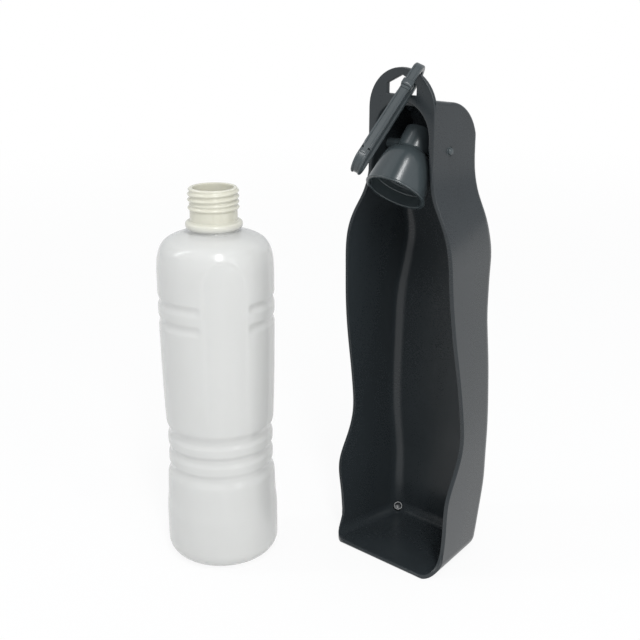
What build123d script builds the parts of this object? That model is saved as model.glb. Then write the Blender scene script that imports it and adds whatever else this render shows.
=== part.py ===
"""Travel water bottle for dogs: a squeeze bottle, a drinking trough and a swinging screw cap.

Millimetres, +Z up. The origin is on the floor under the trough, which stands on its end with its
open side towards -Y and its width along X. The cap swings about a pivot across the trough's hood,
and the bottle stands unscrewed beside it.
"""
from build123d import *
import math
import os

# ---------------------------------------------------------------- bottle
bottle_height = 212.2
bottle_wall = 1.1
neck_radius = 12.7              # at the root of the thread
neck_bore = 10.9
neck_length = 17.7              # from the mouth down to the collar
thread_radius = 13.7            # over the thread's crests
collar_radius = 15.3            # ring under the thread
collar_height = 4.8
waist_radius = 12.8
shoulder_drop = 36.4            # the body reaches its full width this far below the mouth
body_radius = 31.5
hip_radius = 30.1               # just above the grip rings
grip_radius = 28.3              # bottoms of the three grip grooves
grip_heights = [56.0, 66.5, 77.0]
foot_radius = 31.4
foot_corner = 10.0
punt_depth = 3.0                # hollow under the base
groove_heights = [145.0, 156.0]  # two shallow grooves round the upper body
groove_depth = 0.8
groove_round = 3.0              # section radius
panel_half_width = 12.5         # plain panel that interrupts them
panel_azimuth = 56.0            # where the panel faces, from the front towards +X, degrees
bottle_at = (-78.1, -72.5)      # where the bottle stands beside the trough

# ---------------------------------------------------------------- cap, screwed onto the neck
thread_clearance = 0.8          # between the neck's thread and the skirt's bare wall
skirt_wall = 1.6
skirt_radius = thread_radius + thread_clearance + skirt_wall
skirt_taper = 1.2               # the skirt is this much narrower where the dome starts
skirt_knee = 14.0               # the dome turns into the skirt, below the pivot axis
skirt_length = 27.8             # from the pivot axis to the open end
skirt_lip = 0.5                 # bead round the open end
seat_depth = 12.3               # face that the washer lies on, below the pivot axis
washer_inset = 0.6              # the washer's edge lies this far inside the neck's wall
washer_radius = neck_radius - washer_inset
washer_bore = 8.2
washer_thickness = 1.5
washer_clearance = 0.2
spout_radius = 9.8
spout_bore = 7.4
spout_top = 8.0                 # above the pivot axis
shoulder_at = 4.6               # where the spout widens, below the pivot axis
cap_tilt = 39.0                 # at rest, towards the open side, from straight down
pin_radius = 2.40               # trunnions that the cap turns on
pin_clearance = 0.06            # running fit in the trough's two holes
pin_tip_radius = 1.9
pin_reach = 1.6                 # domed tips stand this far out of the side walls
boss_radius = 3.3               # thicker root of each trunnion
boss_gap = 0.4                  # between a root and the side wall

# ---------------------------------------------------------------- trough: one moulded shell
wall = 2.2                      # shell thickness
floor_wall = 2.4                # thickness of the end that it stands on
pivot_height = 233.0            # axis of the swinging cap above the floor
swing_gap = 2.0                 # between the cap's bead and the hood's walls
hood_half_width = skirt_radius + skirt_lip + swing_gap + wall       # outside, parallel walls
hood_radius = 24.4              # outside of the hood, measured from the pivot axis
foot_round = 8.0                # outside radius where the floor meets the walls

# (height, half width at mid depth), (height, depth of the back) and (height, depth of the rim)
half_width_at = [(0, 34.6), (25, 36.2), (50, 37.8), (80, 39.0), (110, 38.1), (140, 36.2),
                 (165, 34.5), (181, 33.6), (191, 31.5), (200, 28.4), (209, 24.1), (217, 21.9),
                 (226, hood_half_width), (275, hood_half_width)]
back_at = [(0, 30.0), (20, 30.4), (43, 32.3), (65, 31.0), (85, 30.4), (110, 30.0), (140, 29.0),
           (158, 31.0), (176, 33.6), (188, 31.6), (199, 27.4), (208, 25.0), (216, hood_radius),
           (275, hood_radius)]
rim_at = [(16, -14.6), (30, -15.0), (46, -15.0), (60, -8.6), (74, -3.6), (90, -4.0),
          (112, -7.4), (135, -11.4), (157, -13.8), (182, -15.0), (204, -14.5), (228, -13.6)]
splay_at = [(0, 7.5), (180, 7.5), (214, 0.0), (275, 0.0)]       # lean of the side walls, degrees
corner_at = [(0, 10.5), (30, 8.5), (180, 8.0), (214, 2.6), (275, 2.6)]  # back corner radius
least_corner = 0.3              # inside back corners are never sharper than this
level_step = 11.0               # spacing of the shell's cross-sections

lip_reach = 25.2                # how far the floor's pouring lip stands in front of the origin
lip_corner = 11.0               # plan radius of the lip's two corners
rim_round = 0.5                 # radius along the front edges of the walls and the tab
roof_round = 1.5                # radius along the hood's two long edges

# ---------------------------------------------------------------- hang tab and arch
tab_face = 14.2                 # front of the tab, in front of the pivot
tab_thickness = 2.2
tab_proud = 0.2                 # the tab's edge stands this far outside the hood's walls
tab_top = pivot_height + 41.4
tab_bottom = pivot_height - 19.0            # its two legs run out into the walls here
arch_gap = 0.7                  # round the cap, which swings through the opening under the tab
arch_half_width = skirt_radius + skirt_lip + arch_gap
arch_spring = pivot_height + 7.0            # where the opening's round top starts
arch_foot_leg = 1.1             # width left of each leg at its foot
arch_flare = 1.5                # rounding round that opening's front edge
roof_rise = 2.0                 # how much the hood's roof climbs towards the tab
slot_half_width = 9.3           # five-sided hole for the hook
slot_floor = pivot_height + 28.0
slot_side = 5.2                 # height of the hole's two upright sides
slot_gable = 4.6                # and of its pointed top above them
slot_round = 0.5

# ---------------------------------------------------------------- snap hook
hook_length = 69.6
hook_width = 13.4
hook_depth = 4.8                # across the loop's plane
hook_bar = 3.3                  # in the loop's plane
hook_round = 0.9
hook_aside = 7.52               # where it hangs in the hole, from the tab's middle
hook_rest = 9.2                 # centre of the arc that hangs on the tab, above the hole's floor
hook_top = (hook_aside, tab_thickness / 2 - tab_face, slot_floor + hook_rest)
hook_lean = 51.1                # forward from straight down, degrees
hook_sway = 3.1                 # sideways
hook_turn = 32.6                # about its own length
gate_tip = 12.0                 # from the arc's centre down to the middle of the gate's lap joint
gate_lap = 3.0
gate_gap = 0.3
gate_pin_radius = 0.8           # integral pins at the gate's lower end
gate_pin_clearance = 0.06
gate_tongue = 2.2               # depth of the part between the hook's two cheeks
gate_side_gap = 0.15
gate_shoulder = 2.75            # the gate's full depth stops this far short of its pin


def smooth(stations, level):
    """Height of a gentle curve through (level, value) stations, with no overshoot."""
    levels = [s[0] for s in stations]
    values = [s[1] for s in stations]
    if level <= levels[0]:
        return values[0]
    if level >= levels[-1]:
        return values[-1]
    steps = [b - a for a, b in zip(levels, levels[1:])]
    slopes = [(b - a) / h for a, b, h in zip(values, values[1:], steps)]
    tangents = [0.0]
    for before, after in zip(slopes, slopes[1:]):
        level_off = before * after <= 0
        tangents.append(0.0 if level_off else 2 * before * after / (before + after))
    tangents.append(0.0)
    k = max(i for i, start in enumerate(levels[:-1]) if start <= level)
    t = (level - levels[k]) / steps[k]
    return (values[k] * (1 + 2 * t) * (1 - t) ** 2 + values[k + 1] * t * t * (3 - 2 * t)
            + steps[k] * (tangents[k] * t * (1 - t) ** 2 + tangents[k + 1] * t * t * (t - 1)))


def shell_section(level, inset, front):
    """Closed cross-section of the trough: splayed sides, rounded back corners, flat front."""
    splay = math.radians(smooth(splay_at, level))
    radius = max(smooth(corner_at, level) - inset, least_corner)
    half = smooth(half_width_at, level) - inset / math.cos(splay)
    back = smooth(back_at, level) - inset
    centre_y = back - radius
    centre_x = half - centre_y * math.tan(splay) - radius / math.cos(splay)
    start = (centre_x + radius * math.cos(splay), centre_y + radius * math.sin(splay))
    middle_angle = (splay + math.pi / 2) / 2
    middle = (centre_x + radius * math.cos(middle_angle), centre_y + radius * math.sin(middle_angle))
    end = (centre_x, back)
    corner = (half + front * math.tan(splay), -front)

    def left(point):
        return (-point[0], point[1])

    edges = [Line(corner, start), ThreePointArc(start, middle, end), Line(end, left(end)),
             ThreePointArc(left(end), left(middle), left(start)), Line(left(start), left(corner)),
             Line(left(corner), corner)]
    return Pos(0, 0, level) * make_face(Wire(edges))


def shell_block(inset, front, bottom, top, foot):
    """Solid between cross-sections from bottom to top, rounded where it meets the floor."""
    count = round((top - bottom) / level_step)
    levels = [bottom + (top - bottom) * i / count for i in range(count + 1)]
    block = loft([shell_section(level, inset, front) for level in levels])
    ring = block.faces().sort_by(Axis.Z)[0].edges()
    ring = ring.filter_by(lambda e: e.center().Y > -front + 1)
    return fillet(ring, foot)


def side_outline(inset):
    """Side view of the shell: hood about the pivot, rim along the walls, lip at the floor."""
    hood = hood_radius - inset
    roof = pivot_height + hood
    far = 60.0
    face = tab_face - tab_thickness / 2
    top_back = (far, pivot_height)
    back = (hood, pivot_height)
    crown = (0, roof)
    corner = hood * math.sqrt(0.5)
    if inset:
        bottom = floor_wall
        front_edges = [Line((-far, roof + roof_rise), (-far, bottom))]
        roof_front = (-far, roof + roof_rise)
        foot = (-far, bottom)
    else:
        bottom = 0.0
        roof_front = (-face, roof + roof_rise)
        rim = [(y, z) for z, y in rim_at]
        nose = floor_wall / 2
        lip_top = (-lip_reach + nose, floor_wall)
        front_edges = [
            Line(roof_front, (-face, rim[-1][1])),
            Line((-face, rim[-1][1]), rim[-1]),
            Spline(rim[::-1], tangents=[(0, -1), (0, -1)]),
            TangentArc(rim[0], lip_top, tangent=(0, -1)),
            ThreePointArc(lip_top, (-lip_reach, nose), (-lip_reach + nose, 0)),
        ]
        foot = (-lip_reach + nose, 0)
    edges = [Line(top_back, back),
             ThreePointArc(back, (corner, pivot_height + corner), crown),
             Line(crown, roof_front), *front_edges,
             Line(foot, (far, bottom)), Line((far, bottom), top_back)]
    plane = Plane(origin=(0, 0, 0), x_dir=(0, 1, 0), z_dir=(1, 0, 0))
    return extrude(plane * make_face(Wire(edges)), amount=80, both=True)


def tab_outline():
    """Front view of the tab: two legs up the hood's sides and a round top."""
    half = hood_half_width + tab_proud
    centre = tab_top - half
    return Wire([Line((-half, tab_bottom), (half, tab_bottom)),
                 Line((half, tab_bottom), (half, centre)),
                 ThreePointArc((half, centre), (0, tab_top), (-half, centre)),
                 Line((-half, centre), (-half, tab_bottom))])


def arch_outline():
    """Front view of the opening under the tab."""
    half = arch_half_width
    foot = hood_half_width - arch_foot_leg
    below = tab_bottom - 10
    side = Spline((foot, tab_bottom), (half, arch_spring), tangents=[(-0.1, 1), (0, 1)])
    other = Spline((-half, arch_spring), (-foot, tab_bottom), tangents=[(0, -1), (-0.1, -1)])
    return Wire([Line((-foot, below), (foot, below)), Line((foot, below), (foot, tab_bottom)), side,
                 ThreePointArc((half, arch_spring), (0, arch_spring + half), (-half, arch_spring)),
                 other, Line((-foot, tab_bottom), (-foot, below))])


def slot_outline():
    """Front view of the five-sided hole."""
    half = slot_half_width
    eaves = slot_floor + slot_side
    return Wire.make_polygon([(-half, slot_floor), (half, slot_floor), (half, eaves),
                              (0, eaves + slot_gable), (-half, eaves)])


def upright(wire, front, thickness):
    """Prism of a front-view outline, from its front face backwards."""
    plane = Plane(origin=(0, -front, 0), x_dir=(1, 0, 0), z_dir=(0, -1, 0))
    return extrude(plane * make_face(wire), amount=-thickness)


def make_tab():
    """Round-topped plate over the arch, with the hook's hole and its front edges rounded."""
    tab = upright(tab_outline(), tab_face, tab_thickness)
    tab -= upright(arch_outline(), tab_face + 5, tab_thickness + 10)
    tab -= upright(slot_outline(), tab_face + 5, tab_thickness + 10)

    def in_front(keep):
        edges = tab.edges().filter_by_position(Axis.Y, -tab_face - 0.01, -tab_face + 0.01)
        return [e for e in edges if e.length > 3 and keep(e.bounding_box())]

    tab = fillet(in_front(lambda box: box.min.Z > slot_floor - 0.1 and box.max.X < hood_half_width
                          and box.min.X > -hood_half_width), slot_round)
    tab = fillet(in_front(lambda box: box.max.Z < arch_spring + arch_half_width + 0.1
                          and abs(box.center().X) < hood_half_width - 1), arch_flare)
    return fillet(in_front(lambda box: max(box.max.X, -box.min.X) > hood_half_width), rim_round)


def make_trough():
    """The shell with its lip, its hood, the tab and the two pivot holes."""
    outer = shell_block(0, 60.0, 0, tab_top, foot_round) & side_outline(0)
    beside = [e for e in outer.edges() if abs(e.center().X) > hood_half_width - 1]
    roof = [e for e in beside if e.bounding_box().min.Z > pivot_height + 10 and e.length > 5]
    outer = fillet(roof, roof_round)
    beside = [e for e in outer.edges() if abs(e.center().X) > hood_half_width - 1]
    rims = [e for e in beside if e.bounding_box().max.Y < 0 and e.length > 150]
    outer = fillet(rims, rim_round)
    inner = shell_block(wall, 70.0, floor_wall, tab_top, foot_round - wall) & side_outline(wall)
    lip_half = smooth(half_width_at, 0) + 2.0
    lip_joint, lip_back = rim_at[0]
    around = Pos(0, -50, 0) * Box(200, 100 + 2 * lip_back, 2 * lip_joint)
    nose = Box(2 * lip_half, 2 * lip_reach, 3 * lip_joint)
    nose = fillet(nose.edges().filter_by(Axis.Z), lip_corner)
    shell = outer - inner - (around - nose)
    arch = upright(arch_outline(), tab_face + 5, tab_thickness + 5)
    pivot = Pos(0, 0, pivot_height) * Rot(Y=90) * Cylinder(pin_radius + pin_clearance, 60)
    return shell - arch + make_tab() - pivot


def revolved(points_wire):
    """Solid of revolution about the vertical from a closed outline of (radius, height)."""
    return revolve(Plane.XZ * make_face(points_wire), axis=Axis.Z)


def swung(shape):
    """Carry a piece drawn hanging from the pivot axis to where it is in the trough."""
    return Pos(0, 0, pivot_height) * Rot(X=-cap_tilt) * shape


def make_cap():
    """Spout, dome and screw skirt on two trunnions, drawn hanging straight down."""
    end = -skirt_length
    knee = (skirt_radius - skirt_taper, -skirt_knee)
    rim = skirt_radius + skirt_lip
    bead = 2 * skirt_lip
    mouth = skirt_radius - skirt_wall
    socket = skirt_radius - skirt_taper - skirt_wall * 0.7
    seat = washer_radius + washer_clearance
    outer = Wire([
        Line((0, spout_top), (spout_radius - 0.6, spout_top)),
        TangentArc((spout_radius - 0.6, spout_top), (spout_radius, spout_top - 0.6), tangent=(1, 0)),
        Line((spout_radius, spout_top - 0.6), (spout_radius, -shoulder_at)),
        Spline((spout_radius, -shoulder_at), knee, tangents=[(1.0, -0.35), (0.08, -0.8)]),
        Line(knee, (skirt_radius, end + bead)),
        Line((skirt_radius, end + bead), (rim, end + bead * 0.6)),
        Line((rim, end + bead * 0.6), (rim, end)),
        Line((rim, end), (0, end)),
        Line((0, end), (0, spout_top)),
    ])
    hollow = Wire.make_polygon([(0, end - 1), (mouth, end - 1), (mouth, end + 1),
                                (socket, -seat_depth - 2.5), (seat, -seat_depth), (0, -seat_depth)])
    boss_end = hood_half_width - wall - boss_gap
    tips = Cylinder(pin_tip_radius, 2 * (hood_half_width + pin_reach))
    axle = (Cylinder(boss_radius, 2 * boss_end)
            + Cylinder(pin_radius, 2 * (hood_half_width - 0.1))
            + fillet(tips.edges(), pin_tip_radius * 0.75))
    body = revolved(outer) + Rot(Y=90) * axle
    bore = Pos(0, 0, -seat_depth / 2) * Cylinder(spout_bore, 2 * spout_top + seat_depth + 2)
    return swung(body - revolved(hollow) - bore)


def make_seal():
    """Flat washer in the cap, under the face that the bottle's mouth is screwed against."""
    ring = Cylinder(washer_radius, washer_thickness) - Cylinder(washer_bore, washer_thickness + 1)
    return swung(Pos(0, 0, -seat_depth - washer_thickness / 2) * ring)


def bottle_outline(inset):
    """Half section of the bottle, or of its hollow when inset by the wall."""
    base = inset
    foot = foot_radius - inset
    corner = foot_corner - inset
    ring = foot_radius - foot_corner
    low, middle, high = grip_heights
    grip = grip_radius - inset
    body = body_radius - inset
    shoulder = bottle_height - shoulder_drop
    shoulder_end = (waist_radius + 1.2 - inset * 0.2, shoulder + 12.6 - inset)
    side = Spline(
        (foot, 28), (foot_radius - 0.9 - inset, 38), (foot_radius - 1.1 - inset, 47),
        (grip + 0.3, low), (grip + 0.9, (low + middle) / 2), (grip, middle),
        (grip + 0.95, (middle + high) / 2), (grip + 0.1, high),
        (hip_radius - inset, high + 8), (hip_radius + 0.4 - inset, high + 18),
        (body - 0.3, high + 47), (body, shoulder - 10),
        tangents=[(0, 1), (0, 1)])
    return [
        Line((0, base + punt_depth), (ring * 0.55, base + punt_depth)),
        Spline((ring * 0.55, base + punt_depth), (ring, base), tangents=[(1, 0), (1, -0.1)]),
        TangentArc((ring, base), (foot, base + corner), tangent=(1, 0)),
        Line((foot, base + corner), (foot, 28)),
        side,
        Spline((body, shoulder - 10), (body - 1.6, shoulder + 3.4), (body - 6.4, shoulder + 8.6),
               (body - 11.5, shoulder + 11.0), shoulder_end, tangents=[(0, 1), (-1, 0.2)]),
    ], shoulder_end


def grooves(section_radius, half_width):
    """Two rings round the upper body, less the plain panel that interrupts them."""
    ring_radius = body_radius - groove_depth + groove_round
    panel = Rot(Z=panel_azimuth) * Pos(0, -body_radius, groove_heights[0]) * Box(
        2 * half_width, 2 * body_radius, 4 * groove_round + groove_heights[1] - groove_heights[0])
    rings = [Pos(0, 0, height) * Torus(ring_radius, section_radius) for height in groove_heights]
    return rings[0] + rings[1] - panel


def make_bottle():
    """Blown bottle with a shell of even thickness, a collar and a plain neck."""
    edges, shoulder_end = bottle_outline(0)
    collar_top = bottle_height - neck_length
    collar_bottom = collar_top - collar_height
    waist = (waist_radius, collar_bottom)
    outer = Wire([*edges,
                  Line(shoulder_end, waist),
                  Line(waist, (collar_radius, collar_bottom)),
                  Line((collar_radius, collar_bottom), (collar_radius, collar_top)),
                  Line((collar_radius, collar_top), (neck_radius, collar_top)),
                  Line((neck_radius, collar_top), (neck_radius, bottle_height)),
                  Line((neck_radius, bottle_height), (0, bottle_height)),
                  Line((0, bottle_height), (0, punt_depth))])
    edges, shoulder_end = bottle_outline(bottle_wall)
    hollow = Wire([*edges,
                   Line(shoulder_end, (neck_bore, shoulder_end[1] + 1)),
                   Line((neck_bore, shoulder_end[1] + 1), (neck_bore, bottle_height + 1)),
                   Line((neck_bore, bottle_height + 1), (0, bottle_height + 1)),
                   Line((0, bottle_height + 1), (0, bottle_wall + punt_depth))])
    outside = revolved(outer) - grooves(groove_round, panel_half_width)
    inside = revolved(hollow) - grooves(groove_round + bottle_wall, panel_half_width - bottle_wall)
    return Pos(*bottle_at, 0) * (outside - inside)


def placed(shape):
    """Carry a hook piece, drawn hanging straight down from the origin, to its place."""
    return (Pos(*hook_top) * Rot(X=-hook_lean) * Rot(Y=-hook_sway) * Rot(Z=hook_turn)) * shape


def slab(near, far, low, high, depth):
    """Block between two distances in front of and behind the hook's axis and two heights."""
    return Pos(0, (near + far) / 2, (low + high) / 2) * Box(depth, far - near, high - low)


def make_hook():
    """Loop with a hinged gate in its front bar; returns the body and the gate."""
    straight = hook_length - hook_width
    middle = (hook_bar - hook_width) / 2        # centre line of the front bar
    outside = -hook_width / 2
    inside = outside + hook_bar
    loop = Plane.YZ * Pos(0, -straight / 2) * (
        SlotCenterToCenter(straight, hook_width, rotation=90)
        - SlotCenterToCenter(straight, hook_width - 2 * hook_bar, rotation=90))
    ring = extrude(loop, amount=hook_depth / 2, both=True)
    ring = fillet(ring.edges(), hook_round)
    hinge = -straight + 0.5
    tip = -gate_tip
    lap = gate_lap / 2
    wide = hook_depth + 2

    def barrel(radius, length):
        return Pos(0, middle, hinge) * Rot(Y=90) * Cylinder(radius, length)

    bay = slab(outside - 1, inside + 0.4, hinge, tip - lap, wide)
    bay += slab(middle, inside + 0.4, tip - lap - 1, tip + lap, wide)
    bay -= barrel(gate_shoulder - gate_gap, wide)
    fork = slab(outside - 1, inside + 0.4, hinge, hinge + gate_shoulder + 1,
                gate_tongue + 2 * gate_side_gap)
    fork += barrel(hook_bar / 2 + gate_gap, gate_tongue + 2 * gate_side_gap)
    body = ring - bay - fork - barrel(gate_pin_radius + gate_pin_clearance, wide)
    reach = slab(outside - 1, inside + 0.4, hinge + gate_shoulder, tip - lap - gate_gap, wide)
    reach += slab(middle + gate_gap / 2, inside + 0.4, tip - lap - 1, tip + lap - gate_gap, wide)
    gate = ring & reach
    gate += slab(outside, inside, hinge, hinge + gate_shoulder + 1, gate_tongue)
    gate += barrel(hook_bar / 2, gate_tongue)
    gate += barrel(gate_pin_radius, hook_depth - 0.2)
    return placed(body), placed(gate)


def make_parts():
    hook, gate = make_hook()
    return {"trough": make_trough(), "spout_cap": make_cap(), "cap_seal": make_seal(),
            "bottle": make_bottle(), "hook_body": hook, "hook_gate": gate}


if __name__ == "__main__":
    os.makedirs("parts", exist_ok=True)
    for name, shape in make_parts().items():
        export_step(shape, f"parts/{name}.step")
        box = shape.bounding_box()
        print(name, len(shape.solids()), shape.is_valid, round(shape.volume), box.min, box.max)
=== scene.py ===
"""Travel water bottle for dogs: a squeeze bottle beside its drinking trough.

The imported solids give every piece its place. The bottle, the cap and its washer are drawn again
here as numpy surfaces with their threads, grooves and rounded edges. The trough, the snap hook
and its gate keep their shape, and get their plastics and the small raised details on them.
"""
import math

import bmesh
import bpy
import numpy as np
from bpy.props import FloatProperty, FloatVectorProperty, PointerProperty
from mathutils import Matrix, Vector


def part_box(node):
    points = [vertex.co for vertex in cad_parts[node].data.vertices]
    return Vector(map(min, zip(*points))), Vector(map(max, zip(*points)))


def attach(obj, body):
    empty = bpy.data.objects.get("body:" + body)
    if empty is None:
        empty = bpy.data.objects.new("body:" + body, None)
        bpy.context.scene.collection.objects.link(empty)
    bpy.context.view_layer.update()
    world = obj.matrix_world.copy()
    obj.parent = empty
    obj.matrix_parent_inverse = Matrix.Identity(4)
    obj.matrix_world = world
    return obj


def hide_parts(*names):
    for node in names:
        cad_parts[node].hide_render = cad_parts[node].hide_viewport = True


bl_info = {
    "name": "Travel Water Bottle for Dogs",
    "version": (1, 0, 0),
    "blender": (4, 5, 0),
    "location": "View3D > Sidebar > Water Bottle",
    "description": "Squeeze bottle, screw cap, drinking trough and snap hook on a plain stage",
    "category": "Add Mesh",
}

MM = 0.001
MERGE = 1e-6                    # metres: points closer than this are one
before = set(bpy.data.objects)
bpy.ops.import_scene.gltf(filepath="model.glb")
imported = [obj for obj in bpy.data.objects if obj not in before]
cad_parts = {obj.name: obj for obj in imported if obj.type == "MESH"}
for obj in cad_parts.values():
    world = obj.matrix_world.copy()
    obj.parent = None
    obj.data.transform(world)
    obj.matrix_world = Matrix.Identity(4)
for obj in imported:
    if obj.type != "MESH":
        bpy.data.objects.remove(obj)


# ---------------------------------------------------------------- curves and surfaces
def smooth_curve(stations, at):
    """Values at `at` on a curve through (place, value) stations that never overshoots.

    Each stretch is a cubic Hermite piece. The slope at a station is the harmonic mean of the
    slopes of the chords on its two sides, or nought where they differ in sign and at the ends.
    """
    place, value = np.array(stations, float).T
    step = np.diff(place)
    chord = np.diff(value) / step
    slope = np.zeros(len(place))
    both = chord[:-1] * chord[1:]
    total = np.where(both > 0, chord[:-1] + chord[1:], 1.0)
    slope[1:-1] = np.where(both > 0, 2 * both / total, 0.0)
    k = np.clip(np.searchsorted(place, at, side="right") - 1, 0, len(step) - 1)
    t = np.clip((at - place[k]) / step[k], 0, 1)
    return (value[k] * (1 + 2 * t) * (1 - t) ** 2 + value[k + 1] * t * t * (3 - 2 * t)
            + step[k] * (slope[k] * t * (1 - t) ** 2 + slope[k + 1] * t * t * (t - 1)))


def ease(value, low, high):
    """0 below low, 1 above high and 3t^2 - 2t^3 between them."""
    t = np.clip((value - low) / (high - low), 0, 1)
    return t * t * (3 - 2 * t)


def hump(value):
    """Smooth bump (1 - v^2)^2 that is 1 at nought and ends at v = -1 and v = 1."""
    return np.clip(1 - value * value, 0, 1) ** 2


def flowing(knots, step):
    """Soft path through (across, up) knots.

    Across and up are each a no-overshoot curve of the distance travelled along the chords.
    """
    knots = np.array(knots, float)
    run = np.append(0, np.cumsum(np.hypot(*np.diff(knots, axis=0).T)))
    at = np.linspace(0, run[-1], max(2, round(run[-1] / step)))
    return np.stack([smooth_curve(list(zip(run, knots[:, axis])), at) for axis in (0, 1)], 1)


def rounded(corners, step=0.2):
    """Path along straight runs between (across, up, radius) corners.

    A corner becomes the arc of its radius that touches both runs, swept evenly in angle.
    """
    points = np.array([corner[:2] for corner in corners], float)
    path = [points[:1]]
    for before, here, after, corner in zip(points, points[1:], points[2:], corners[1:]):
        if not corner[2]:
            path.append(here[None])
            continue
        back = (before - here) / np.linalg.norm(before - here)
        on = (after - here) / np.linalg.norm(after - here)
        half = math.acos(np.clip(back @ on, -1, 1)) / 2
        centre = here + (back + on) / np.linalg.norm(back + on) * corner[2] / math.sin(half)
        start = here + back * corner[2] / math.tan(half) - centre
        end = here + on * corner[2] / math.tan(half) - centre
        turn = math.pi - 2 * half
        t = np.linspace(0, 1, max(3, math.ceil(turn / step) + 1))[:, None]
        path.append(centre + (np.sin((1 - t) * turn) * start + np.sin(t * turn) * end)
                    / math.sin(turn))
    path.append(points[-1:])
    return np.concatenate(path)


def capped(points):
    """The same tube of rings with a point in the middle of each end ring, which closes it."""
    ends = [np.repeat(points[k].mean(0)[None, None], points.shape[1], 1) for k in (0, -1)]
    return np.concatenate([ends[0], points, ends[1]])


def spaced(path, step):
    """The same path with more points, so that none is further than step from the next."""
    run = np.append(0, np.cumsum(np.hypot(*np.diff(path, axis=0).T)))
    at = np.union1d(run, np.arange(0, run[-1], step))
    return np.stack([np.interp(at, run, path[:, axis]) for axis in (0, 1)], 1)


def beside(path, distance):
    """Copy of an (across, up) path moved sideways, to the left of its direction."""
    along = np.gradient(path, axis=0)
    along /= np.linalg.norm(along, axis=1, keepdims=True)
    return path + distance * np.stack([-along[:, 1], along[:, 0]], 1)


def turned(path, count):
    """Rings round the vertical: (r cos a, r sin a, z) for each path point and each angle."""
    angle = np.arange(count) * 2 * np.pi / count
    return np.stack([path[:, :1] * np.cos(angle), path[:, :1] * np.sin(angle),
                     np.repeat(path[:, 1:], count, 1)], 2), angle


def swung(points, degrees):
    """Turn points about the X axis."""
    c, s = math.cos(math.radians(degrees)), math.sin(math.radians(degrees))
    return points @ np.array([[1, 0, 0], [0, c, s], [0, -s, c]])


def piece(name, grids, material, body, nodes=()):
    """Mesh object from grids of points in millimetres, riding on a body.

    A grid is (points, wrap_rows, wrap_columns); each cell is one four-sided face. Points that
    coincide are merged, which closes seams and poles, and faces are turned outwards.
    """
    vertices, faces, first = [], [], 0
    for points, wrap_rows, wrap_columns in grids:
        rows, columns = points.shape[:2]
        index = first + np.arange(rows * columns).reshape(rows, columns)
        if wrap_rows:
            index = np.concatenate([index, index[:1]], 0)
        if wrap_columns:
            index = np.concatenate([index, index[:, :1]], 1)
        cells = [index[:-1, :-1], index[:-1, 1:], index[1:, 1:], index[1:, :-1]]
        faces.append(np.stack(cells, 2).reshape(-1, 4))
        vertices.append(points.reshape(-1, 3) * MM)
        first += rows * columns
    mesh = bpy.data.meshes.new(name)
    mesh.from_pydata(np.concatenate(vertices), [], np.concatenate(faces))
    work = bmesh.new()
    work.from_mesh(mesh)
    bmesh.ops.remove_doubles(work, verts=work.verts, dist=MERGE)
    bmesh.ops.dissolve_degenerate(work, edges=work.edges, dist=MERGE)
    bmesh.ops.recalc_face_normals(work, faces=work.faces)
    work.to_mesh(mesh)
    work.free()
    mesh.shade_smooth()
    mesh.materials.append(material)
    made = bpy.data.objects.new(name, mesh)
    bpy.context.collection.objects.link(made)
    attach(made, body)
    if nodes:
        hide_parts(*nodes)
    return made


# ---------------------------------------------------------------- shaders
class Value:
    """A number that changes over a surface. Arithmetic on it adds Math nodes."""

    def __init__(self, paint, socket):
        self.paint = paint
        self.socket = socket

    def maths(self, operation, *terms):
        return self.paint.node("ShaderNodeMath", {"operation": operation}, *terms)

    def __add__(self, other):
        return self.maths("ADD", self, other)

    __radd__ = __add__

    def __sub__(self, other):
        return self.maths("SUBTRACT", self, other)

    def __rsub__(self, other):
        return self.maths("SUBTRACT", other, self)

    def __mul__(self, other):
        return self.maths("MULTIPLY", self, other)

    __rmul__ = __mul__

    def ramp(self, low, high):
        """0 to 1 as the number goes from low to high, eased at both ends."""
        return self.paint.node("ShaderNodeMapRange", {"interpolation_type": "SMOOTHSTEP"},
                               Value=self, From_Min=low, From_Max=high)


class Paint:
    """One material with a Principled shader, and the way to add nodes to it."""

    def __init__(self, name, **constants):
        self.material = bpy.data.materials.new(name)
        self.material.use_nodes = True
        self.tree = self.material.node_tree
        self.shader = self.tree.nodes["Principled BSDF"]
        for socket, value in constants.items():
            self.shader.inputs[socket.replace("_", " ")].default_value = value
        self.place = self.node("ShaderNodeTexCoord", {}, output="Object")

    def node(self, kind, settings, *values, output=0, **named):
        """Add a node, set it, feed its sockets, and give the value of one output."""
        made = self.tree.nodes.new(kind)
        for setting, value in settings.items():
            setattr(made, setting, value)
        feeds = list(zip(made.inputs, values))
        feeds += [(made.inputs[name.replace("_", " ")], value) for name, value in named.items()]
        for socket, value in feeds:
            if isinstance(value, Value):
                self.tree.links.new(value.socket, socket)
            else:
                socket.default_value = value
        return Value(self, made.outputs[output])

    def feed(self, socket, value):
        self.tree.links.new(value.socket, self.shader.inputs[socket])

    def noise(self, scale, detail=2.0, rough=0.5, stretch=(1, 1, 1)):
        """Cloudy pattern from 0 to 1 in object space, stretched along the axes."""
        place = self.node("ShaderNodeMapping", {}, self.place, Scale=stretch)
        return self.node("ShaderNodeTexNoise", {}, Vector=place, Scale=scale, Detail=detail,
                         Roughness=rough)

    def blend(self, share, first, second):
        """Colour between two colours, which may be plain or values."""
        made = self.tree.nodes.new("ShaderNodeMix")
        made.data_type = "RGBA"
        for socket, value in ((made.inputs[0], share), (made.inputs[6], first),
                              (made.inputs[7], second)):
            if isinstance(value, Value):
                self.tree.links.new(value.socket, socket)
            else:
                socket.default_value = value
        return Value(self, made.outputs[2])

    def relief(self, height, distance, strength=1.0, under=None):
        """Bump from a height between 0 and 1, for the shader's normal or another bump."""
        named = {"Height": height, "Distance": distance, "Strength": strength}
        if under:
            named["Normal"] = under
        return self.node("ShaderNodeBump", {}, **named)


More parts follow.
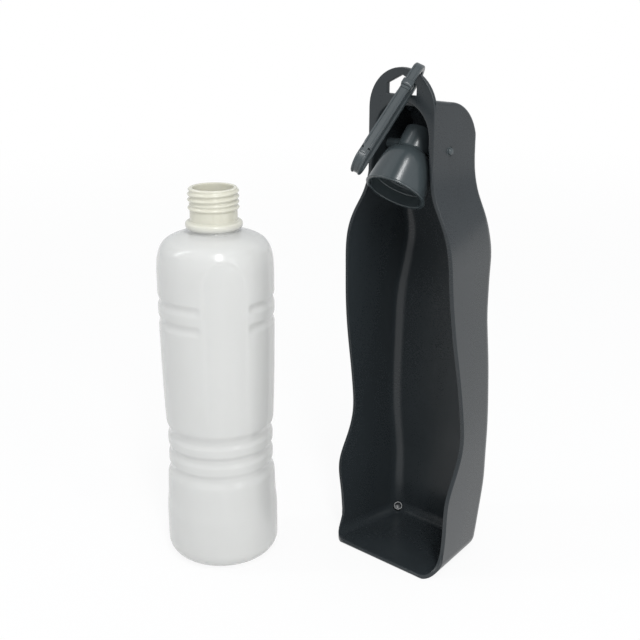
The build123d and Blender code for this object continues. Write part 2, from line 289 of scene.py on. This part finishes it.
def shade(colour, factor):
    """A plain colour made lighter or darker."""
    return [channel * factor for channel in colour[:3]] + [1.0]


def moulded_plastic(name, colour, gloss, **constants):
    """Satin injection-moulded plastic: fine grain, cloudy gloss and faint flow marks."""
    paint = Paint(name, **constants)
    flow = paint.noise(22, 3.0, 0.55, (1, 1, 0.35))
    grain = paint.noise(1500, 2.0)
    paint.feed("Base Color", paint.blend(flow.ramp(0.3, 0.7), shade(colour, 0.92),
                                         shade(colour, 1.08)))
    paint.feed("Roughness", gloss + (flow - 0.5) * 0.12 + (grain - 0.5) * 0.06)
    waves = paint.relief(flow, 0.0004, 0.25)
    paint.feed("Normal", paint.relief(grain, 0.00002, 0.3, waves))
    return paint.material


def milky_plastic(name, colour, neck_colour, neck_height):
    """Blown translucent plastic: cloudy white body, denser and creamier neck."""
    paint = Paint(name, Subsurface_Weight=0.3,
                  Subsurface_Radius=(1.0, 0.98, 0.92), Subsurface_Scale=0.004, IOR=1.45)
    clouds = paint.noise(35, 3.0, 0.5, (1, 1, 0.5))
    grain = paint.noise(900, 2.0)
    height = paint.node("ShaderNodeSeparateXYZ", {}, paint.place, output="Z")
    body = paint.blend(clouds, shade(colour, 0.97), shade(colour, 1.03))
    paint.feed("Base Color", paint.blend(height.ramp(neck_height - 0.004, neck_height + 0.004),
                                         body, neck_colour))
    paint.feed("Roughness", 0.2 + (clouds - 0.5) * 0.08)
    waves = paint.relief(clouds, 0.0004, 0.12)
    paint.feed("Normal", paint.relief(grain, 0.00003, 0.4, waves))
    return paint.material


def soft_rubber(name, colour):
    """Matt washer rubber with a powdery grain."""
    paint = Paint(name)
    grain = paint.noise(1200, 3.0)
    paint.feed("Base Color", paint.blend(grain, shade(colour, 0.9), shade(colour, 1.05)))
    paint.feed("Roughness", 0.6 + (grain - 0.5) * 0.2)
    paint.feed("Normal", paint.relief(grain, 0.00008, 0.5))
    return paint.material


# ---------------------------------------------------------------- sizes and colours to change
def length(name, description, default):
    return FloatProperty(name=name, description=description, default=default, min=0.0,
                         unit="LENGTH", precision=4)


def colour(name, description, default):
    return FloatVectorProperty(name=name, description=description, default=default, size=4,
                               min=0.0, max=1.0, subtype="COLOR")


class BottleLook(bpy.types.PropertyGroup):
    thread_depth: length("Thread depth", "How far the neck's thread stands out", 0.001)
    thread_pitch: length("Thread pitch", "Rise of the neck's thread in one turn", 0.003)
    groove_depth: length("Groove depth", "Depth of the two grooves round the upper body", 0.0008)
    panel_depth: length("Panel depth", "How far the arched front panel is sunk", 0.0004)
    wall: length("Wall", "Thickness of the blown wall", 0.0011)
    body: colour("Body", "Milky plastic of the body", (0.575, 0.577, 0.560, 1.0))
    neck: colour("Neck", "Creamier plastic of the thick neck", (0.585, 0.575, 0.49, 1.0))


class CapLook(bpy.types.PropertyGroup):
    thread_depth: length("Thread depth", "How far the thread stands into the skirt", 0.0005)
    thread_pitch: length("Thread pitch", "Rise of the inside thread in one turn", 0.003)
    plastic: colour("Cap", "Satin grey plastic of the cap", (0.042, 0.053, 0.057, 1.0))
    rubber: colour("Washer", "Pale rubber of the washer", (0.60, 0.60, 0.57, 1.0))


class TroughLook(bpy.types.PropertyGroup):
    plastic: colour("Trough", "Anthracite plastic of the trough", (0.021, 0.026, 0.029, 1.0))


class HookLook(bpy.types.PropertyGroup):
    plastic: colour("Hook", "Grey plastic of the hook and its gate", (0.042, 0.052, 0.056, 1.0))


class StageLook(bpy.types.PropertyGroup):
    floor: colour("Floor", "Pale floor that the object stands on", (0.80, 0.80, 0.80, 1.0))
    lens: FloatProperty(name="Lens", description="Focal length of the camera in millimetres",
                        default=60.525, min=1.0)


# ---------------------------------------------------------------- pieces, in millimetres
BODY_RADIUS = 31.5
NECK_RADIUS = 12.7
BORE_RADIUS = 10.9
PANEL_AZIMUTH = 56              # where the bottle's panel faces, degrees from -Y towards +X
PANEL_RADIUS = 12.5             # of the panel's arch, and half its width
CAP_TILT = -39                  # of the cap's axis about X, degrees from upright
PIVOT_HEIGHT = 233.0
THREAD_START = -22.0            # height of the cap's thread under the pivot, at the +X side
LOOP_TOP = (7.52, -13.1, 270.2)     # middle of the snap hook's upper bend
LOOP_AXES = ((-0.537982, 0.506354, -0.673929),      # across the loop, to its closed side
             (0.054079, -0.777104, -0.627044),      # down the loop
             (0.84122, 0.373784, -0.390685))        # through the loop
LOOP_REACH = 6.7                # from the loop's middle line to its outer face
LOOP_STRAIGHT = 56.2            # between the middles of its two bends
RIB_SIDE = 1.75                 # from the loop's middle plane to each rib
RIB_HEIGHT = 0.5
RIB_HALF_WIDTH = 0.55


def bottle_path(top, wall):
    """(radius, height) path of the bottle's section, and the number of rows that face outwards.

    It goes up the outside from the middle of the base, over the mouth, down the bore and back
    down the lining, which is the outside moved inwards by the wall.
    """
    base = rounded([(0, 3.0, 0), (12.5, 3.0, 3), (19.0, 0, 4), (31.4, 0, 10), (31.4, 20, 0)])
    side = flowing([
        (31.4, 20), (31.35, 28), (30.6, 38), (30.35, 46), (30.1, 50), (28.7, 54.2),
        (28.6, 55.8), (29.3, 58.6), (29.35, 62), (28.35, 65), (28.3, 66.6), (29.35, 69.5),
        (29.4, 73), (28.4, 75.8), (28.5, 77.6), (29.9, 82), (30.2, 87), (30.5, 95),
        (31.2, 124), (BODY_RADIUS, 150), (BODY_RADIUS, top - 46), (31.2, top - 39),
        (29.9, top - 33), (27.9, top - 29.5), (25.1, top - 27.2), (20.0, top - 25.2),
        (16.0, top - 24.3)], 0.7)
    shoulder = rounded([tuple(side[-1]) + (0,), (13.2, top - 23.7, 1.6), (12.8, top - 22.4, 0)])
    collar = rounded([(12.8, top - 22.4, 0), (12.9, top - 22.1, 0.2), (15.3, top - 21.8, 2.0),
                      (15.3, top - 18.2, 1.4), (NECK_RADIUS, top - 17.7, 0.5),
                      (NECK_RADIUS, top - 16.5, 0)])
    mouth = rounded([(NECK_RADIUS, top - 16.5, 0), (NECK_RADIUS, top, 0.5),
                     (BORE_RADIUS, top, 0.5), (BORE_RADIUS, top - 22.0, 0)])
    mouth = np.concatenate([spaced(mouth[:-1], 0.35), mouth[-1:]])
    outside = np.concatenate([base[:-1], side[:-1], shoulder[:-1], collar[:-1]])
    lining = beside(np.concatenate([base[:-1], side]), wall)
    lining[:, 0] = np.maximum(lining[:, 0], 0)
    lining[0, 0] = 0
    bore = rounded([(BORE_RADIUS, top - 22.0, 0), (BORE_RADIUS, top - 24.6, 1.5),
                    tuple(lining[-1]) + (0,)])
    path = np.concatenate([outside, mouth[:-1], bore[:-1], lining[::-1][::3], lining[:1]])
    return path, len(outside) + np.argmax(mouth[:, 0] < NECK_RADIUS - 0.3)


def helix(height, angle, pitch, half_width):
    """Thread height from 0 to 1: a hump over the distance to the nearest turn of a helix."""
    turns = height / pitch - angle / (2 * np.pi)
    return hump((turns - np.round(turns)) * pitch / half_width)


def bottle_relief(look, angle, z, top):
    """How far the body's wall, and the neck's outside, move away from the bottle's axis.

    The two grooves are humps over height that fade out beside the panel. The panel sinks with
    the distance inside its outline, which is straight at the sides and round at the top. The
    bead under the thread is a hump too.
    """
    around = (angle - math.radians(PANEL_AZIMUTH - 90) + np.pi) % (2 * np.pi) - np.pi
    off = np.abs(around) * BODY_RADIUS
    grooves = sum(hump((z - top + drop) / 3.4) for drop in (59.8, 70.6)) * ease(off, 12.0, 16.5)
    above = z - top + 45.5
    inside = PANEL_RADIUS - np.where(above > 0, np.hypot(off, above), off)
    panel = ease(inside, 0, 2.2) * ease(z, 84, 110)
    thread = helix(z - top + 5.3, angle, look.thread_pitch / MM, 1.25)
    thread = thread * ease(z, top - 9.6, top - 7.6) * ease(top - z, 0.2, 1.2)
    thread = np.maximum(thread, hump((z - top + 10.7) / 1.35)) * (z > top - 14)
    return (-(grooves * look.groove_depth + panel * look.panel_depth) / MM,
            thread * look.thread_depth / MM)


class OBJECT_OT_add_squeeze_bottle(bpy.types.Operator):
    """Add the blown squeeze bottle with its threaded neck"""
    bl_idname = "object.add_squeeze_bottle"
    bl_label = "Add Squeeze Bottle"

    def execute(self, context):
        look = context.scene.bottle_look
        low, high = np.array(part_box("bottle")) / MM
        centre, top = (low + high) / 2, high[2]
        path, outer = bottle_path(top, look.wall / MM)
        points, angle = turned(path, 192)
        body, neck = bottle_relief(look, angle, points[..., 2], top)
        change = body + neck * (np.arange(len(path)) < outer)[:, None]
        points[..., :2] += change[..., None] * np.stack([np.cos(angle), np.sin(angle)], 1)
        points += [centre[0], centre[1], 0]
        milky = milky_plastic("milky plastic", look.body, look.neck[:], (top - 20) * MM)
        piece("squeeze_bottle", [(points, False, True)], milky, "bottle", ["bottle"])
        return {"FINISHED"}


def in_hood(points):
    """Points round the cap's upright axis and its pivot, tilted and lifted to the rest pose."""
    return swung(points, CAP_TILT) + [0, 0, PIVOT_HEIGHT]


class OBJECT_OT_add_spout_cap(bpy.types.Operator):
    """Add the screw cap with its spout and trunnions, and the washer in it"""
    bl_idname = "object.add_spout_cap"
    bl_label = "Add Spout Cap"

    def execute(self, context):
        look = context.scene.cap_look
        grids = [self.shell(look)] + [self.trunnion(side) for side in (-1, 1)]
        grids = [(in_hood(points), rows, columns) for points, rows, columns in grids]
        grey = moulded_plastic("satin grey plastic", look.plastic, 0.22)
        piece("spout_cap_shell", grids, grey, "cap", ["spout_cap"])
        washer = rounded([(8.2, -12.75, 0), (8.2, -12.32, 0.15), (12.1, -12.32, 0.15),
                          (12.1, -13.8, 0.25), (8.2, -13.8, 0.25), (8.2, -12.75, 0)])
        ring, _ = turned(washer[:-1], 96)
        piece("washer", [(in_hood(ring), True, True)],
              soft_rubber("washer rubber", look.rubber), "cap", ["cap_seal"])
        return {"FINISHED"}

    @staticmethod
    def shell(look):
        """Spout, dome and skirt: a closed section turned round, with the thread inside it."""
        dome = flowing([(9.8, -3.9), (10.1, -4.7), (11.9, -6.0), (13.6, -8.6), (14.5, -11.5),
                        (14.9, -14.0), (15.3, -18.0), (16.05, -26.4)], 0.45)
        outside = spaced(np.concatenate([
            rounded([(7.4, 7.0, 0), (7.4, 8.0, 0.35), (9.8, 8.0, 0.6), (9.8, -3.9, 0)])[:-1],
            dome[:-1],
            rounded([(16.05, -26.4, 0), (16.15, -26.8, 0.2), (16.6, -27.0, 0.25),
                     (16.6, -27.8, 0.45), (14.5, -27.8, 0.4), (14.5, -26.5, 0)])]), 0.8)
        inside = spaced(rounded([(14.5, -26.5, 0), (14.4, -21.6, 0.2), (14.05, -21.3, 0.2),
                                 (13.75, -14.8, 0), (12.3, -12.3, 0.3), (7.4, -12.3, 0.3),
                                 (7.4, 7.0, 0)]), 0.4)
        points, angle = turned(np.concatenate([outside[:-1], inside[:-1]]), 160)
        z = points[..., 2]
        inner = (np.arange(len(points)) > len(outside) - 4)[:, None]
        ridge = helix(z - THREAD_START, angle, look.thread_pitch / MM, 0.6)
        ridge = ridge * ease(z, -20.4, -19.4) * ease(-z, 14.9, 16.2) * inner
        radius = np.hypot(points[..., 0], points[..., 1])
        points[..., :2] *= (1 - ridge * look.thread_depth / MM / radius)[..., None]
        return points, True, True

    @staticmethod
    def trunnion(side):
        """Arm and pin out to one side (-1 or 1), turned round the pivot's axis."""
        arm = rounded([(0, 0, 0), (0, 9.5, 0), (3.3, 9.5, 0), (3.3, 18.2, 0.3), (2.4, 18.2, 0.15),
                       (2.4, 20.7, 0), (1.9, 20.75, 0.1), (1.9, 22.4, 1.2), (0, 22.4, 0)])[2:]
        ring, _ = turned(arm, 48)
        return ring[..., [2, 0, 1]] * [side, side, 1], False, True


class OBJECT_OT_dress_trough(bpy.types.Operator):
    """Give the trough its moulded plastic and the two ejector rings inside it"""
    bl_idname = "object.dress_trough"
    bl_label = "Dress Trough"

    def execute(self, context):
        look = context.scene.trough_look
        plastic = moulded_plastic("anthracite plastic", look.plastic, 0.28,
                                  Specular_IOR_Level=0.36)
        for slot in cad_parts["trough"].material_slots:
            slot.material = plastic
        rings = [self.ring((-19.7, 27.85, 100.4), (0, -1, 0), 2.6),
                 self.ring((-25.0, 23.9, 6.4), (0.5, -0.55, 0.67), 2.2)]
        piece("ejector_rings", rings, plastic, "trough")
        return {"FINISHED"}

    @staticmethod
    def ring(centre, facing, radius):
        """Low bead in a circle round `centre`, half sunk in a wall that faces `facing`."""
        bead = rounded([(radius - 0.6, -0.4, 0), (radius - 0.3, 0.15, 0.1),
                        (radius + 0.3, 0.15, 0.1), (radius + 0.6, -0.4, 0),
                        (radius - 0.6, -0.4, 0)])[:-1]
        points, _ = turned(bead, 48)
        up = np.array(facing) / np.linalg.norm(facing)
        side = np.cross(up, (0, 0, 1))
        side /= np.linalg.norm(side)
        return points @ np.array([side, np.cross(up, side), up]) + centre, True, True


class OBJECT_OT_dress_hook(bpy.types.Operator):
    """Give the snap hook and its gate their plastic, their ribs and the sleeve at the nose"""
    bl_idname = "object.dress_hook"
    bl_label = "Dress Snap Hook"

    def execute(self, context):
        look = context.scene.hook_look
        plastic = moulded_plastic("hook plastic", look.plastic, 0.3)
        for name in ("hook_body", "hook_gate"):
            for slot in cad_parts[name].material_slots:
                slot.material = plastic
        turn = np.linspace(0, np.pi, 33)
        bend = np.stack([-LOOP_REACH * np.cos(turn), -LOOP_REACH * np.sin(turn)], 1)
        sunk = (1 - 0.52 / LOOP_REACH * ease(np.sin(turn), 0, 0.6))[:, None]
        body = np.concatenate([[(-LOOP_REACH, 10.0)], bend * sunk,
                               bend[::-1][:-1] * [1, -1] + [0, LOOP_STRAIGHT]])
        gate = np.array([(-LOOP_REACH, 14.2), (-LOOP_REACH, 52.8)])
        for name, path, part in (("hook_ribs", body, "hook"), ("gate_ribs", gate, "gate")):
            path = spaced(path, 1.5)
            ribs = [(self.rib(path, side), False, True) for side in (-RIB_SIDE, RIB_SIDE)]
            piece(name, ribs, plastic, part)
        piece("nose_sleeve", [(self.sleeve(10.0), False, True)], plastic, "hook")
        return {"FINISHED"}

    @staticmethod
    def placed(points):
        """(across, down, through) points of the loop, put where the loop hangs at rest."""
        return points @ np.array(LOOP_AXES) + LOOP_TOP

    def rib(self, path, depth):
        """Rib along an (across, down) path on the loop's outer face, `depth` off its middle.

        An oval section, its middle in the face, is carried along the path. It shrinks to a
        point at both ends.
        """
        along = np.gradient(path, axis=0)
        along /= np.linalg.norm(along, axis=1, keepdims=True)
        out = np.stack([along[:, 1], -along[:, 0]], 1)
        out *= np.sign((out * (path - [0, LOOP_STRAIGHT / 2])).sum(1) + 1e-9)[:, None]
        angle = np.arange(16) * np.pi / 8
        ends = np.minimum(np.arange(len(path)), np.arange(len(path))[::-1])
        size = ease(ends, -0.5, 2.0)[:, None]
        place = path[:, None] + out[:, None] * (RIB_HEIGHT * np.sin(angle) * size)[..., None]
        wide = depth + RIB_HALF_WIDTH * np.cos(angle) * size
        return capped(self.placed(np.concatenate([place, wide[..., None]], 2)))

    def sleeve(self, middle, end=1.9, side=2.85):
        """Block round the nose, `middle` down the loop, with an eased inner and outer edge."""
        outline = rounded([(0, -side, 0), (end, -side, 0.6), (end, side, 0.6), (-end, side, 0.6),
                           (-end, -side, 0.6), (0, -side, 0)])[:-1]
        levels = [np.insert(outline * share, 0, level, 1) + [0, middle, 0]
                  for level, share in ((-3.0, 0.93), (-3.2, 1), (-7.1, 1), (-7.35, 0.93))]
        return capped(self.placed(np.array(levels)))


# ---------------------------------------------------------------- stage, in metres
FLOOR_RADIUS = 4
CAMERA_PLACE = (0.3400, -0.4456, 0.3240)
CAMERA_TURN = (90 - 18.4, 0, 42.5)      # degrees
LAMPS = (                               # name, place, aim, size and power in watts
    ("key", (-0.70, -0.68, 0.95), (-0.04, -0.05, 0.15), (0.10, 0.7), 2.2),
    ("side", (1.18, -0.22, 0.55), (0.0, 0.0, 0.14), (0.22, 0.8), 2.2),
    ("strip", (0.70, -0.56, 1.12), (0.0, -0.03, 0.20), (0.18, 0.9), 11.0),
)


class SCENE_OT_add_stage(bpy.types.Operator):
    """Add the floor, the soft lights and the camera"""
    bl_idname = "scene.add_stage"
    bl_label = "Add Stage"

    def execute(self, context):
        scene = context.scene
        self.floor(scene, scene.stage_look.floor)
        self.world(scene)
        for lamp in LAMPS:
            self.lamp(scene, *lamp)
        camera = bpy.data.objects.new("camera", bpy.data.cameras.new("camera"))
        scene.collection.objects.link(camera)
        camera.location = CAMERA_PLACE
        camera.rotation_euler = [math.radians(turn) for turn in CAMERA_TURN]
        camera.data.sensor_width = 36
        camera.data.lens = scene.stage_look.lens
        scene.camera = camera
        scene.view_settings.view_transform = "Standard"
        return {"FINISHED"}

    def floor(self, scene, pale):
        """Round floor that takes the object's shadow and fades to white away from it."""
        angle = np.arange(96) * 2 * np.pi / 96
        rim = np.stack([np.cos(angle), np.sin(angle), 0 * angle], 1) * FLOOR_RADIUS
        mesh = bpy.data.meshes.new("floor")
        mesh.from_pydata(rim, [], [list(range(len(rim)))])
        floor = bpy.data.objects.new("floor", mesh)
        scene.collection.objects.link(floor)
        paint = Paint("pale floor", Base_Color=pale, Roughness=0.7)
        glow = paint.tree.nodes.new("ShaderNodeEmission")
        mix = paint.tree.nodes.new("ShaderNodeMixShader")
        out = paint.tree.nodes["Material Output"]
        distance = paint.node("ShaderNodeVectorMath", {"operation": "LENGTH"}, paint.place,
                              output="Value")
        white = self.background_rays(paint) * (0.9 + distance.ramp(0.35, 1.6) * 0.1)
        paint.tree.links.new(white.socket, mix.inputs[0])
        paint.tree.links.new(paint.shader.outputs[0], mix.inputs[1])
        paint.tree.links.new(glow.outputs[0], mix.inputs[2])
        paint.tree.links.new(mix.outputs[0], out.inputs[0])
        mesh.materials.append(paint.material)

    @staticmethod
    def background_rays(paint):
        """1 for rays that show the background: from the camera, off gloss, through glass."""
        path = paint.tree.nodes.new("ShaderNodeLightPath")
        seen = Value(paint, path.outputs["Is Camera Ray"])
        gloss = Value(paint, path.outputs["Is Glossy Ray"])
        through = Value(paint, path.outputs["Is Transmission Ray"])
        return seen.maths("MAXIMUM", seen, gloss.maths("MAXIMUM", gloss, through))

    @staticmethod
    def world(scene):
        """Soft grey light from all round, and a white background."""
        world = bpy.data.worlds.new("studio")
        world.use_nodes = True
        scene.world = world
        tree = world.node_tree
        path = tree.nodes.new("ShaderNodeLightPath")
        light = tree.nodes["Background"]
        light.inputs[0].default_value = (0.95, 0.97, 1.0, 1)
        light.inputs[1].default_value = 0.72
        white = tree.nodes.new("ShaderNodeBackground")
        white.inputs[0].default_value = (1, 1, 1, 1)
        white.inputs[1].default_value = 1.0
        mix = tree.nodes.new("ShaderNodeMixShader")
        tree.links.new(path.outputs["Is Camera Ray"], mix.inputs[0])
        tree.links.new(light.outputs[0], mix.inputs[1])
        tree.links.new(white.outputs[0], mix.inputs[2])
        tree.links.new(mix.outputs[0], tree.nodes["World Output"].inputs[0])

    @staticmethod
    def lamp(scene, name, spot, aim, size, power):
        """Soft rectangular lamp at spot, turned to face aim."""
        data = bpy.data.lights.new(name, "AREA")
        data.shape = "RECTANGLE"
        data.size, data.size_y = size
        data.energy = power
        lamp = bpy.data.objects.new(name, data)
        scene.collection.objects.link(lamp)
        lamp.location = spot
        x, y, z = (a - b for a, b in zip(aim, spot))
        lamp.rotation_euler = (math.atan2(math.hypot(x, y), -z), 0, math.atan2(-x, y))


class VIEW3D_PT_water_bottle(bpy.types.Panel):
    """Sizes and colours of the water bottle, and the buttons that add its pieces"""
    bl_idname = "VIEW3D_PT_water_bottle"
    bl_label = "Water Bottle"
    bl_space_type = "VIEW_3D"
    bl_region_type = "UI"
    bl_category = "Water Bottle"

    def draw(self, context):
        for title, operator, group in STEPS:
            box = self.layout.box()
            box.label(text=title)
            look = getattr(context.scene, group)
            for name in look.__annotations__:
                box.prop(look, name)
            box.operator(operator)


STEPS = (
    ("Bottle", "object.add_squeeze_bottle", "bottle_look"),
    ("Cap", "object.add_spout_cap", "cap_look"),
    ("Trough", "object.dress_trough", "trough_look"),
    ("Snap hook", "object.dress_hook", "hook_look"),
    ("Stage", "scene.add_stage", "stage_look"),
)
GROUPS = {"bottle_look": BottleLook, "cap_look": CapLook, "trough_look": TroughLook,
          "hook_look": HookLook, "stage_look": StageLook}
CLASSES = (*GROUPS.values(), OBJECT_OT_add_squeeze_bottle, OBJECT_OT_add_spout_cap,
           OBJECT_OT_dress_trough, OBJECT_OT_dress_hook, SCENE_OT_add_stage,
           VIEW3D_PT_water_bottle)


def register():
    for group in CLASSES:
        bpy.utils.register_class(group)
    for name, group in GROUPS.items():
        setattr(bpy.types.Scene, name, PointerProperty(type=group))


def unregister():
    for name in GROUPS:
        delattr(bpy.types.Scene, name)
    for group in reversed(CLASSES):
        bpy.utils.unregister_class(group)


def main():
    register()
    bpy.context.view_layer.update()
    bpy.ops.object.add_squeeze_bottle()
    bpy.ops.object.add_spout_cap()
    bpy.ops.object.dress_trough()
    bpy.ops.object.dress_hook()
    bpy.ops.scene.add_stage()


if __name__ == "__main__":
    main()
